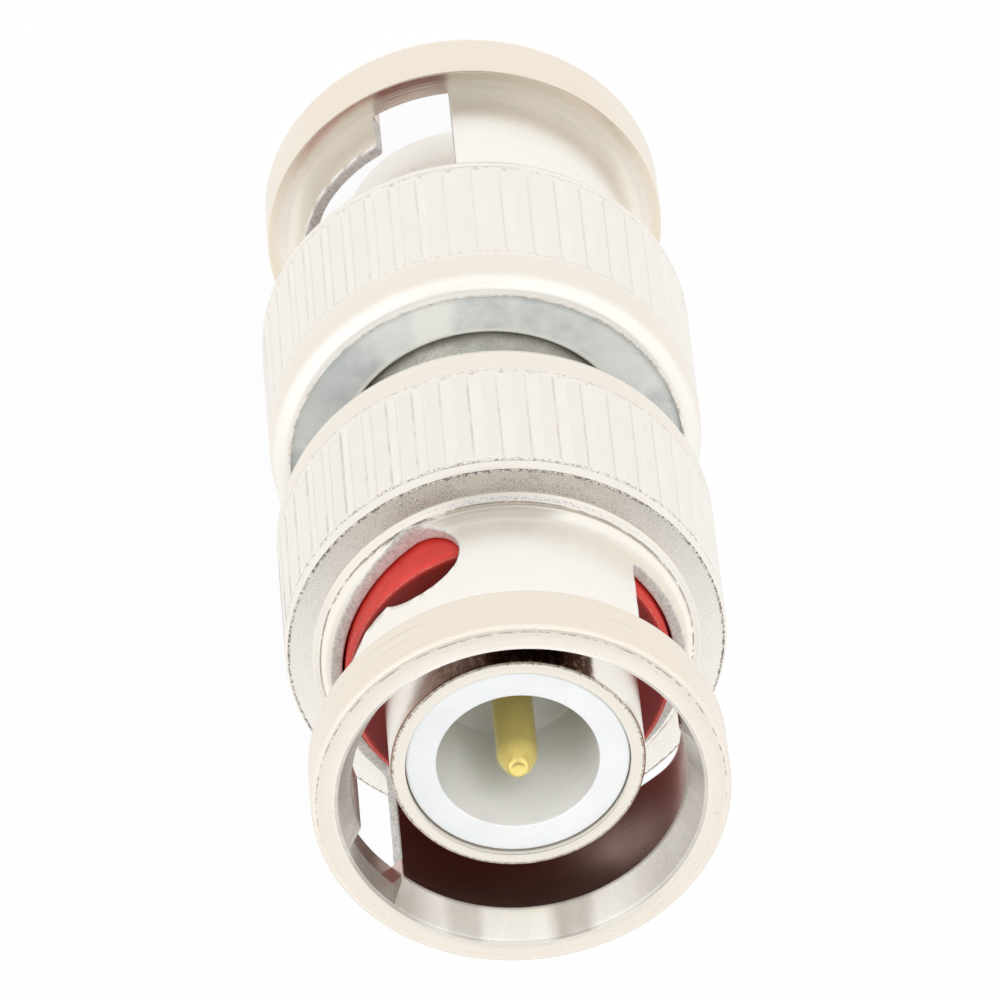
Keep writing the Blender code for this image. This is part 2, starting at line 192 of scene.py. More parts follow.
class Shader:
    """One output socket of a material's or world's nodes.

    Arithmetic on it adds Math nodes, and node() adds any other kind of node."""

    def __init__(self, tree, socket=None):
        self.tree = tree
        self.socket = socket

    def node(self, kind, inputs=None, output=0, **settings):
        """Add a node: its settings first, and then the values or links of its inputs."""
        made = self.tree.nodes.new(kind)
        for name, value in settings.items():
            setattr(made, name, value)
        for name, value in (inputs or {}).items():
            if isinstance(value, Shader):
                self.tree.links.new(value.socket, made.inputs[name])
            else:
                made.inputs[name].default_value = value
        return Shader(self.tree, made.outputs[output] if made.outputs else None)

    def math(self, operation, *values, clamp=False):
        inputs = dict(enumerate((self, *values)))
        return self.node("ShaderNodeMath", inputs, operation=operation, use_clamp=clamp)

    def __add__(self, other):
        return self.math("ADD", other)

    def __sub__(self, other):
        return self.math("SUBTRACT", other)

    def __mul__(self, other):
        return self.math("MULTIPLY", other)

    def __truediv__(self, other):
        return self.math("DIVIDE", other)

    def __pow__(self, other):
        return self.math("POWER", other)

    def __rsub__(self, other):
        return self.node("ShaderNodeMath", {0: other, 1: self}, operation="SUBTRACT")

    def __rtruediv__(self, other):
        return self.node("ShaderNodeMath", {0: other, 1: self}, operation="DIVIDE")

    __radd__ = __add__
    __rmul__ = __mul__

    def part(self, axis):
        return self.node("ShaderNodeSeparateXYZ", {0: self}, output=axis)

    def clamped(self):
        return self.math("ADD", 0.0, clamp=True)

    def between(self, low, high):
        """0 below low, 1 above high, and smooth between them."""
        inputs = {"Value": self, "From Min": low, "From Max": high}
        return self.node("ShaderNodeMapRange", inputs, interpolation_type="SMOOTHSTEP")

    def below(self, low, high):
        """1 below low, 0 above high, and smooth between them."""
        return 1.0 - self.between(low, high)

    def near(self, middle, reach):
        """1 at middle, and 0 from reach away."""
        return (self - middle).math("ABSOLUTE").below(reach * 0.4, reach)

    def mixed(self, first, second):
        """A colour from first to second, with this as the share of second."""
        colours = {0: self, 6: first, 7: second}
        return self.node("ShaderNodeMix", colours, output=2, data_type="RGBA")


class Place:
    """Where a shaded point lies on the adapter: its coordinates in millimetres, its radius and angle,
    and its depth from the nearer end's front face."""

    def __init__(self, shader):
        spot = shader.node("ShaderNodeTexCoord", output="Object")
        scaled = {0: spot, "Scale": 1 / MM}
        self.point = shader.node("ShaderNodeVectorMath", scaled, operation="SCALE")
        self.x, self.y, self.z = [self.point.part(axis) for axis in "XYZ"]
        self.radius = (self.x * self.x + self.y * self.y) ** 0.5
        self.angle = self.y.math("ARCTAN2", self.x)
        self.depth = LENGTH / 2 - (self.z - LENGTH / 2).math("ABSOLUTE")

    def upper(self):
        """1 on the upper half of the adapter and 0 on the lower."""
        return self.z.between(LENGTH / 2 - 0.1, LENGTH / 2 + 0.1)

    def speckle(self, size, detail=3.0, roughness=0.6):
        """Noise whose blots are about size across, from 0 to 1."""
        inputs = {"Vector": self.point, "Scale": 1 / size, "Detail": detail, "Roughness": roughness}
        return self.point.node("ShaderNodeTexNoise", inputs)

    def grain(self, length, twist, detail=2.0):
        """Noise over radius and height in steps of length, and over the angle times twist."""
        along = {"X": self.radius / length, "Y": self.z / length, "Z": self.angle * twist}
        vector = self.point.node("ShaderNodeCombineXYZ", along)
        inputs = {"Vector": vector, "Scale": 1.0, "Detail": detail}
        return self.point.node("ShaderNodeTexNoise", inputs)

    def turning(self, spacing, wander=0.6, detail=2.0):
        """Tool marks round the axis: noise that changes fast along radius and height only."""
        return self.grain(spacing, wander, detail)

    def brushed(self, spacing, length):
        """Scratches along the axis and the radius: noise that changes fast with the angle only."""
        return self.grain(length, 6.0 / spacing)


def material(recipe, **constants):
    """A Principled material.  The recipe gives what varies: the colour, the roughness, and if it is
    bumped a height, that height's scale in millimetres and perhaps how metallic it is.  The constants
    go on the shader's own sockets."""
    made = bpy.data.materials.new(recipe.__name__ + "_finish")
    made.use_nodes = True
    tree = made.node_tree
    principled = tree.nodes["Principled BSDF"]
    start = Shader(tree)
    varying = list(recipe(Place(start)))
    if len(varying) > 2:
        height, relief = varying[2:4]
        bump = {"Strength": 1.0, "Distance": relief * MM, "Height": height}
        varying[2:4] = [start.node("ShaderNodeBump", bump)]
    for socket, value in zip(("Base Color", "Roughness", "Normal", "Metallic"), varying):
        tree.links.new(value.socket, principled.inputs[socket])
    for socket, value in constants.items():
        principled.inputs[socket.replace("_", " ")].default_value = value
    return made


def knurl_stripes(place, outermost, painted_stripe_strength):
    """Two masks of painted shade: the knurl's lands, and the darker side of each of its flutes."""
    turn = place.upper() * radians(UPPER_NUT_TURN - LOWER_NUT_TURN) + radians(LOWER_NUT_TURN)
    phase = ((place.angle - turn) / FLUTE_PITCH).math("FRACT") - 0.5
    across = phase * (FLUTE_PITCH * BARREL_RADIUS)
    knurl = place.depth.between(FLUTE_FRONT, FLUTE_FRONT + 0.3)
    knurl = knurl * place.depth.below(FLUTE_BACK - 0.3, FLUTE_BACK) * outermost * painted_stripe_strength
    land = across.math("ABSOLUTE").between(FLUTE_HALF_WIDTH, FLUTE_HALF_WIDTH + 0.06)
    painted_dark_side = across.near(FLUTE_HALF_WIDTH - 0.01, 0.055)
    return knurl * land * 0.35, knurl * painted_dark_side * 0.5


def bright_nickel(place):
    """Polished plating: pale cream, warmer on the ring and the plain bands, with fine turning marks.
    The flutes show as soft stripes of painted shade, darkest on one side of each flute.  The edges of
    the ring, the knurl and the lip are chipped, and those of the knurl and the lip stained; the ring's
    edge and the flare's groove carry broken dark lines of painted reflection and painted shadow, the
    flare a patch of painted grey shade, and the shoulder is painted whiter as a painted highlight."""
    marks = place.turning(0.05)
    clouds = place.speckle(1.6)
    pits = place.speckle(0.10, 1.0).between(0.70, 0.80)
    chips = place.speckle(0.11, 3.0, 0.7)
    breaks = place.speckle(0.5, 3.0, 0.6)
    upper = place.upper()

    neck = place.radius.below(NECK_RADIUS + 0.20, NECK_RADIUS + 0.35)
    neck_and_flare = place.radius.below(FLARE_RADIUS + 0.03, FLARE_RADIUS + 0.13)
    ring = place.radius.between(RING_RADIUS - 0.52, RING_RADIUS - 0.22)
    ring = ring * place.depth.below(RING_BACK, RING_BACK + 0.1)
    ring = ring * (place.depth.between(0.0, 0.15) * 0.55 + 0.45)
    chamfer = place.radius.between(RING_RADIUS - 0.24, RING_RADIUS - 0.16)
    chamfer = chamfer * place.depth.below(0.16, 0.22)
    # The lip's rounded shoulder: painted whiter as a painted highlight, and made less metallic.
    shoulder = place.depth.between(NUT_LENGTH - 0.62, NUT_LENGTH - 0.18)
    band = place.depth.between(FLUTE_BACK, FLUTE_BACK + 0.25) * (0.6 - shoulder * 0.6)
    outermost = place.radius.between(BARREL_RADIUS - 0.12, BARREL_RADIUS - 0.06)
    # How strongly the flutes' painted shade shows: blotchy, and stronger on the upper nut.
    painted_stripe_strength = (clouds.between(0.40, 0.62) * 0.75 + 0.25) * (upper * 0.4 + 0.6)
    lands, painted_dark_sides = knurl_stripes(place, outermost, painted_stripe_strength)

    # On the upper nut, broken dark lines are painted on the ring's front edge on its -y side as a
    # painted dark reflection, and in the groove at the flare's top as a painted shadow. ring_edge also
    # places real chips.
    ring_edge = place.radius.near(RING_RADIUS - 0.17, 0.030) * place.depth.below(0.04, 0.12)
    ring_edge = ring_edge * place.y.below(-1.0, 2.0)
    groove = place.depth.near(FLARE_END + GROOVE_STEP, 0.030) * neck_and_flare
    lines = ring_edge * (breaks * 0.6 + chips * 0.4).between(0.46, 0.54)
    lines = (lines + groove * breaks.between(0.36, 0.50)) * upper * 0.75
    scores = place.turning(0.13, 1.5).between(0.66, 0.70) * ring * upper
    # A patch of painted grey shade on the upper nut's flare, on its -y side.
    painted_flare_shade = place.depth.between(7.05, 7.35) * place.depth.below(7.50, 7.62) * upper
    painted_flare_shade = painted_flare_shade * neck_and_flare * (0.0 - place.y).between(5.3, 5.7)
    front_end = place.depth.near(FLUTE_FRONT - 0.02, 0.10) * outermost
    back_end = place.depth.near(FLUTE_BACK + 0.02, 0.09) * outermost
    lip_edge = place.depth.between(NUT_LENGTH - 0.10, NUT_LENGTH - 0.03)
    lip_edge = lip_edge * place.radius.below(LIP_BORE + 0.06, LIP_BORE + 0.14)
    stains = (front_end + back_end * 0.35) * (upper * 0.6 + 0.4) * chips.between(0.50, 0.60)
    lip_stains = lip_edge * (breaks * 0.5 + chips * 0.5).between(0.48, 0.56)

    colour = clouds.between(0.30, 0.70).mixed((0.93, 0.885, 0.82, 1), (0.97, 0.93, 0.86, 1))
    for share, paint in (
        (neck, (1.0, 0.96, 0.89, 1)),
        ((ring + band).clamped(), (0.91, 0.825, 0.71, 1)),
        # Painted shade: the knurl's lands a little greyer, and one side of each flute darker.
        (lands, (0.84, 0.78, 0.72, 1)),
        (painted_dark_sides, (0.52, 0.46, 0.41, 1)),
        (pits * 0.2, (0.45, 0.42, 0.38, 1)),
        (stains * 0.75, (0.34, 0.27, 0.20, 1)),
        # Painted dark reflection on the ring's edge, and painted shadow in the flare's groove.
        (lines * 0.85, (0.14, 0.11, 0.09, 1)),
        # Scores on the ring, and the flare's painted grey shade.
        (scores * 0.25 + painted_flare_shade * 0.75, (0.48, 0.44, 0.39, 1)),
        # Painted highlight on the shoulder.
        (shoulder, (1.0, 0.97, 0.92, 1)),
        (lip_stains * 0.6, (0.38, 0.31, 0.23, 1)),
    ):
        colour = share.mixed(colour, paint)
    rough = 0.17 + marks * 0.08 + clouds * 0.08
    rims = (front_end + back_end + lip_edge + ring_edge * 0.6).clamped()
    height = marks - pits * 0.8 + rims * chips * 5.0
    metal = 1.0 - shoulder * 0.5 - chamfer * 0.5
    return colour, rough, height, 0.004, metal


def satin_nickel(place):
    """Cut plating on the barrel's front face: light grey, speckled darker towards the neck, with a
    chipped outer edge."""
    grain = place.speckle(0.055, 4.0, 0.7)
    inner = place.radius.below(STEP_RADIUS + 0.09, FACE_RADIUS - 0.10)
    patches = (place.speckle(0.8, 3.0) + inner * 0.14).between(0.46, 0.66)
    edge = place.radius.between(FACE_RADIUS - 0.06, FACE_RADIUS - 0.01)
    sides = place.x.math("ABSOLUTE").between(2.5, 5.5)
    specks = grain.between(0.50, 0.62) * (0.10 + patches * 0.75) * (1.0 - sides * 0.85)
    chips = place.speckle(0.10, 3.0, 0.7).between(0.48, 0.56) * edge
    colour = specks.mixed((0.94, 0.92, 0.895, 1), (0.38, 0.365, 0.35, 1))
    colour = (chips * 0.8).mixed(colour, (0.14, 0.12, 0.10, 1))
    rough = 0.20 + grain * 0.14
    return colour, rough, grain - chips, 0.008


def cut_nickel(place):
    """The slots' cut walls: grey and softly grainy."""
    grain = place.speckle(0.12, 4.0, 0.65)
    colour = grain.between(0.35, 0.72).mixed((0.74, 0.73, 0.70, 1), (0.50, 0.48, 0.45, 1))
    return colour, 0.36 + grain * 0.2, grain, 0.014


def bore_nickel(place):
    """The nut's bore: smooth, darker and brownish: painted shade, tinted pink as a painted reflection
    of the red seal.
    """
    clouds = place.speckle(1.2)
    # Painted shade with a painted reddish reflection.
    colour = clouds.between(0.35, 0.70).mixed((0.73, 0.57, 0.52, 1), (0.62, 0.47, 0.43, 1))
    return colour, 0.22 + clouds * 0.08


def mouth_nickel(place):
    """The mouth's chamfer and the entry grooves: bright and brushed, with painted dark reflections:
    greyer at the sides, and two dark patches near the front."""
    streaks = place.brushed(0.5, 2.0)
    patches = place.brushed(9.0, 30.0).between(0.55, 0.60)
    bright = streaks.between(0.30, 0.75).mixed((1.0, 0.98, 0.94, 1), (0.94, 0.92, 0.87, 1))
    # Two dark patches of painted reflection on the cone.
    marks = place.x.near(-1.25, 0.95) + place.x.near(2.2, 0.75) * 0.7
    marks = marks * place.y.between(2.0, 3.0) * (0.45 + streaks * 0.4)
    # Painted grey reflection at the sides.
    sides = place.x.math("ABSOLUTE").between(2.6, 4.6) * (0.40 + patches * 0.3 + streaks * 0.3)
    colour = (marks + sides).mixed(bright, (0.47, 0.43, 0.38, 1))
    return colour, 0.22 + streaks * 0.12


def dull_nickel(place):
    """The tube between the nuts: darker grey plating with a fine grain."""
    grain = place.speckle(0.08, 3.0, 0.7)
    clouds = place.speckle(0.9)
    colour = clouds.between(0.30, 0.70).mixed((0.74, 0.73, 0.68, 1), (0.58, 0.57, 0.52, 1))
    colour = (grain.between(0.5, 0.66) * 0.5).mixed(colour, (0.26, 0.25, 0.24, 1))
    return colour, 0.30 + grain * 0.16, grain, 0.012


def sleeve_nickel(place):
    """The outer contact sleeve: bright cream, with a chipped rim.  The upper sleeve has a painted dark
    brown reflection on one side, broken by scratched flecks."""
    marks = place.turning(0.04)
    scratches = place.brushed(0.3, 0.5)
    chips = place.speckle(0.10, 3.0, 0.7)
    upper = place.upper()
    outside = place.radius.between(SLEEVE_RADIUS - 0.06, SLEEVE_RADIUS - 0.02) * upper
    side = (0.0 - place.y).between(1.6, 2.6) * place.x.between(-2.75, -2.60) * place.x.below(1.8, 3.4)
    flecks = (chips * 0.5 + scratches * 0.5).between(0.50, 0.58)
    # A painted dark brown reflection on the upper sleeve's -y side.
    painted_reflection = outside * side * (1.0 - flecks * 0.5) * (0.65 + place.x.below(0.3, 1.6) * 0.3)
    rim = place.radius.near(SLEEVE_RADIUS - 0.07, 0.07) * upper
    rim = rim * place.depth.below(SLEEVE_FRONT + 0.10, SLEEVE_FRONT + 0.16)
    specks = rim * chips.between(0.50, 0.58)
    colour = painted_reflection.mixed((0.93, 0.89, 0.82, 1), (0.13, 0.085, 0.05, 1))
    colour = (specks * 0.7).mixed(colour, (0.36, 0.28, 0.18, 1))
    height = marks + chips * rim * 4.0
    return colour, 0.18 + marks * 0.10, height, 0.005


def zinc(place):
    """Zinc plating: pale blue-grey, blotched, with rings of tool marks and a few brighter rays of
    painted highlight, and on its -y side a bright wedge and inner rim as painted highlights and a
    darker blue-grey patch towards +x as painted shade.
    """
    grain = place.speckle(0.07, 3.0, 0.7)
    blots = place.speckle(0.8, 4.0, 0.65)
    marks = place.turning(0.035, 0.4, 3.0)
    # Brighter rays: painted highlight streaks.
    rays = place.brushed(3.2, 6.0).between(0.45, 0.62)
    colour = blots.between(0.30, 0.72).mixed((0.82, 0.845, 0.835, 1), (0.65, 0.68, 0.675, 1))
    colour = (rays * 0.6).mixed(colour, (1.0, 1.0, 0.98, 1))
    # On the -y side: a darker blue-grey patch of painted shade towards +x, and painted highlights in a
    # wedge and along the inner rim.
    front = (0.0 - place.y).between(1.0, 3.0)
    colour = (place.x.between(2.6, 5.4) * front * 0.45).mixed(colour, (0.52, 0.55, 0.55, 1))
    bright = place.x.near(1.35, 0.95) + place.radius.below(WASHER_BORE + 0.15, WASHER_BORE + 0.30)
    colour = (bright.clamped() * front).mixed(colour, (1.0, 1.0, 0.96, 1))
    rough = 0.30 + grain * 0.14
    return colour, rough, marks + grain * 0.6, 0.012


def white_insulator(place):
    """Turned white insulator: a bluish white rim, and a cavity that greys towards its floor as painted
    shade.
    """
    marks = place.turning(0.06)
    clouds = place.speckle(1.1)
    colour = clouds.between(0.30, 0.70).mixed((0.86, 0.87, 0.88, 1), (0.90, 0.91, 0.915, 1))
    inside = place.radius.below(CAVITY_RADIUS - 0.02, CAVITY_RADIUS + 0.06)
    # Painted shade, darker deeper in the cavity.
    painted_cavity_shade = inside * (place.depth - CUP_FRONT).between(-0.2, 5.0)
    colour = (painted_cavity_shade * 0.7).mixed(colour, (0.52, 0.51, 0.46, 1))
    return colour, 0.34 + marks * 0.12, marks, 0.004


def red_silicone(place):
    """Moulded red silicone: even, with a fine matt skin and a dusty outer edge; inside its outer edge
    it is painted near black as painted shade in the mouth.
    """
    grain = place.speckle(0.06, 3.0, 0.7)
    clouds = place.speckle(0.9)
    colour = clouds.between(0.30, 0.75).mixed((0.72, 0.050, 0.038, 1), (0.60, 0.034, 0.026, 1))
    # Painted shade: near black inside the outer edge.
    painted_mouth_shade = (GASKET_RADIUS - place.radius).between(0.06, 0.30)
    colour = (painted_mouth_shade * 0.85).mixed(colour, (0.10, 0.005, 0.004, 1))
    dust = place.radius.near(GASKET_RADIUS - 0.12, 0.05) * grain.between(0.40, 0.60)
    dust = dust * place.depth.below(GASKET_FRONT + 0.10, GASKET_FRONT + 0.18)
    colour = (dust * 0.35).mixed(colour, (0.85, 0.45, 0.36, 1))
    return colour, 0.36 + grain * 0.2, grain, 0.006


def gold(place):
    """Gold plating on the centre pin."""
    marks = place.turning(0.03)
    clouds = place.speckle(0.5)
    colour = clouds.between(0.30, 0.70).mixed((1.0, 0.85, 0.30, 1), (0.96, 0.80, 0.27, 1))
    return colour, 0.16 + marks * 0.12, marks, 0.004


def spring_steel(place):
    """Hardened spring steel: grey, with a rolled grain."""
    grain = place.brushed(0.4, 1.5)
    colour = grain.between(0.30, 0.70).mixed((0.42, 0.42, 0.43, 1), (0.52, 0.52, 0.52, 1))
    return colour, 0.28 + grain * 0.15, grain, 0.004


def path(first, second):
    """Rows of two coordinates each: (radius, depth), or (along, depth) on the unrolled neck."""
    return np.stack(np.broadcast_arrays(first, second), 1)


def rounded(corners, steps):
    """A profile of (radius, depth, rounding) corners as an array of (radius, depth) points.  A
    rounding is a quadratic curve from one side to the next, that far from the corner each."""
    spots = np.array([corner[:2] for corner in corners], float)
    points = []
    for k, spot in enumerate(spots):
        rounding = corners[k][2] if len(corners[k]) > 2 else 0.0
        if rounding == 0.0 or k in (0, len(spots) - 1):
            points.append(spot)
            continue
        before = spots[k - 1] - spot
        after = spots[k + 1] - spot
        start = spot + before / np.linalg.norm(before) * rounding
        end = spot + after / np.linalg.norm(after) * rounding
        t = np.linspace(0, 1, steps + 1)[:, None]
        points += list((1 - t) ** 2 * start + 2 * t * (1 - t) * spot + t ** 2 * end)
    return np.array(points)


def wobble(angles, lowest, highest, waves, seed):
    """An uneven edge, about -1 to 1: the sum of sine waves round the axis, each with its own phase."""
    draw = np.random.default_rng(seed)
    counts = draw.integers(lowest, highest, waves)
    phases = draw.uniform(0, 2 * pi, waves)
    sines = np.sin(counts[:, None] * np.ravel(angles)[None] + phases[:, None])
    return (sines.sum(0) / np.sqrt(waves)).reshape(np.shape(angles))


def at(angle, radius, depth):
    """Points in an end's frame from polar coordinates: (r cos a, -r sin a, -depth)."""
    angle, radius, depth = np.broadcast_arrays(angle, radius, depth)
    return np.stack([radius * np.cos(angle), -radius * np.sin(angle), -depth], axis=-1)


def round_the_axis(columns):
    return np.linspace(0, 2 * pi, columns, endpoint=False)


class Shell:
    """The patches of one closed surface.  Points that coincide are merged when the mesh is made."""

    def __init__(self):
        self.points = []
        self.faces = []
        self.finishes = []
        self.count = 0

    def add(self, points, faces, finish):
        self.points.append(points.reshape(-1, 3))
        self.faces.append(faces + self.count)
        self.finishes.append(np.full(len(faces), finish))
        self.count += points.size // 3

    def grid(self, points, finish=0, closed=True):
        """Rows and columns of points.  Each four neighbours make two triangles; closed joins the last
        column to the first."""
        rows, columns = points.shape[:2]
        index = np.arange(rows * columns).reshape(rows, columns)
        following = np.roll(index, -1, axis=1)
        if not closed:
            index, following = index[:, :-1], following[:, :-1]
        a, b = index[:-1].ravel(), following[:-1].ravel()
        c, d = following[1:].ravel(), index[1:].ravel()
        faces = np.concatenate([np.stack([a, b, c], 1), np.stack([a, c, d], 1)])
        self.add(points, faces, finish)

    def carry(self, angles, profile, finish=0):
        """Carry a profile of (radius, depth) points round the axis."""
        self.grid(at(angles[None], profile[:, :1], profile[:, 1:]), finish)

    def band(self, first, second, first_angles, second_angles, finish=0):
        """Join two closed rows of different length.  Both are walked round by angle, and each step of
        either row makes one triangle with the other row's point at hand."""
        n, m = len(first), len(second)
        first_next = np.append(first_angles[1:], first_angles[0] + 2 * pi)
        second_next = np.append(second_angles[1:], second_angles[0] + 2 * pi)
        facing = np.searchsorted(second_next, first_next, "left") % m
        own = np.arange(n)
        one = np.stack([own, (own + 1) % n, n + facing], 1)
        facing = np.searchsorted(first_next, second_next, "right") % n
        own = np.arange(m)
        two = np.stack([n + (own + 1) % m, n + own, facing], 1)
        self.add(np.concatenate([first, second]), np.concatenate([one, two]), finish)

    def mesh(self, name, finishes, turn):
        """The merged mesh, in metres and in the adapter's frame, with its faces pointing outwards."""
        points = np.concatenate(self.points)
        faces = np.concatenate(self.faces)
        finish = np.concatenate(self.finishes)
        _, kept, alias = np.unique(np.round(points * 1e5), axis=0, return_index=True,
                                   return_inverse=True)
        faces = alias.ravel()[faces]
        a, b, c = faces.T
        whole = (a != b) & (b != c) & (c != a)
        made = bpy.data.meshes.new(name)
        made.from_pydata((points[kept] * MM).tolist(), [], faces[whole].tolist())
        made.transform(turn)
        made.polygons.foreach_set("material_index", finish[whole].astype(np.int32))
        for each in finishes:
            made.materials.append(each)
        bm = bmesh.new()
        bm.from_mesh(made)
        bmesh.ops.recalc_face_normals(bm, faces=bm.faces)
        bm.to_mesh(made)
        bm.free()
        made.shade_smooth()
        made.set_sharp_from_angle(angle=radians(32))
        return made


def end_frame(end, nut_turn=0.0):
    """The matrix from an end's frame to the adapter's: the lower end is turned over about X."""
    if end == "upper":
        return Matrix.Translation((0, 0, LENGTH * MM)) @ Matrix.Rotation(radians(nut_turn), 4, "Z")
    return Matrix.Rotation(pi, 4, "X") @ Matrix.Rotation(radians(nut_turn), 4, "Z")


def new_object(name, data):
    made = bpy.data.objects.new(name, data)
    bpy.context.scene.collection.objects.link(made)
    return made


def piece(name, mesh, node, body):
    """One finished piece: it stands for its node and rides on its body."""
    made = new_object(name, mesh)
    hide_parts(node)
    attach(made, body)
    return made


def turned(name, profile, finishes, turn, columns=240, finish_of=None):
    """A closed profile of (radius, depth) points carried round the axis."""
    shell = Shell()
    angles = round_the_axis(columns)
    ring = np.concatenate([profile, profile[:1]])
    if finish_of is None:
        shell.carry(angles, ring)
    else:
        for here, following in zip(ring, ring[1:]):
            shell.carry(angles, np.stack([here, following]), finish_of(*(here + following) / 2))
    return shell.mesh(name, finishes, turn)


def slot_edge():
    """The slot's outline on the unrolled neck, with the unit vectors that point away from the slot.

    It runs down the far wall, round the entry's corner, along the rear edge, which rises in a
    parabola, round the detent, over the hump, down a half cosine to the ramp, and up the tooth's wall.
    It returns the points, the vectors, and where the detent turns back and where the ramp stops."""
    wall_end = REAR_START - ENTRY_CORNER
    rear_top = DETENT_DEPTH + DETENT_RADIUS
    tooth = RAMP_DEPTH - TOOTH_CORNER
    ramp_end = ENTRY_WIDTH + TOOTH_CORNER
    far_wall = path(0.0, np.linspace(RING_BACK, wall_end, NECK_ROWS + 1))
    t = np.linspace(0, pi / 2, 9)[1:]
    corner = path(ENTRY_CORNER * (1 - np.cos(t)), wall_end + ENTRY_CORNER * np.sin(t))
    t = np.linspace(0, 1, 33)[1:]
    rear = path(ENTRY_CORNER + (DETENT_CENTRE - ENTRY_CORNER) * t,
                REAR_START + (rear_top - REAR_START) * t ** 2)
    quarter = np.linspace(0, pi / 2, 13)[1:]
    t = np.append(quarter, np.linspace(pi / 2, pi + HUMP_TURN, 19)[1:])
    detent = path(DETENT_CENTRE + DETENT_RADIUS * np.sin(t), DETENT_DEPTH + DETENT_RADIUS * np.cos(t))
    hump = detent[-1]
    t = np.linspace(0, 1, 15)[1:]
    fall = path(hump[0] - HUMP_WIDTH * t, hump[1] + (RAMP_DEPTH - hump[1]) * (1 - np.cos(pi * t)) / 2)
    ramp = path(np.linspace(fall[-1, 0], ramp_end, 9)[1:], RAMP_DEPTH)
    t = np.linspace(0, pi / 2, 6)[1:]
    tip = path(ramp_end - TOOTH_CORNER * np.sin(t), tooth + TOOTH_CORNER * np.cos(t))
    tooth_wall = path(ENTRY_WIDTH, np.linspace(tooth, RING_BACK, NECK_ROWS + 1)[1:])
    points = np.concatenate([far_wall, corner, rear, detent, fall, ramp, tip, tooth_wall])
    heading = np.gradient(points, axis=0)
    heading[:NECK_ROWS + 1] = (0, 1)
    heading[-NECK_ROWS - 1:] = (0, -1)
    heading /= np.linalg.norm(heading, axis=1)[:, None]
    away = np.stack([-heading[:, 1], heading[:, 0]], 1)
    turn_back = len(far_wall) + len(corner) + len(rear) + len(quarter) - 1
    away[turn_back] = (1, 0)
    return points, away, turn_back, len(points) - NECK_ROWS - 1


def neck_radius(depth):
    """The neck's outside: a cylinder, a flare that rises in a quarter ellipse, a fine groove at its
    top, and a cone up to the barrel's front face."""
    share = np.clip((depth - FLARE_START) / (FLARE_END - FLARE_START), 0, 1)
    flare = NECK_RADIUS + (FLARE_RADIUS - NECK_RADIUS) * (1 - np.sqrt(1 - share * share))
    cone = np.interp(depth, [FLARE_END, FLARE_END + GROOVE_STEP, FLARE_END + 0.04, NECK_END],
                     [FLARE_RADIUS, FLARE_RADIUS - 0.03, FLARE_RADIUS + 0.02, STEP_RADIUS])
    return np.where(depth < FLARE_END, flare, cone)


def slot_wall(x, depth, away, burr):
    """The slot's wall from the bore to the outside, as (angle, radius, depth) arrays with one column
    for each point of the outline: a rounded edge, a straight wall, and a rounded edge with a burr."""
    t = np.linspace(0, pi / 2, EDGE_POINTS)
    low_offset = EDGE_ROUNDING * (1 - np.sin(t))
    high_offset = EDGE_ROUNDING * (1 - np.cos(t))
    offset = np.concatenate([low_offset, 0 * SLOPE_POINTS, high_offset])[:, None]
    outside = neck_radius(depth[None] + away[None, :, 1] * offset[-EDGE_POINTS:])
    low = np.repeat((NECK_BORE + EDGE_ROUNDING * (1 - np.cos(t)))[:, None], len(x), 1)
    high = outside - EDGE_ROUNDING * (1 - np.sin(t))[:, None]
    straight = low[-1:] + (high[:1] - low[-1:]) * SLOPE_POINTS[:, None]
    high[1:3] += burr[None] * np.array([0.6, 1.0])[:, None]
    angle = (x[None] + away[None, :, 0] * offset) / NECK_RADIUS
    return angle, np.concatenate([low, straight, high]), depth[None] + away[None, :, 1] * offset


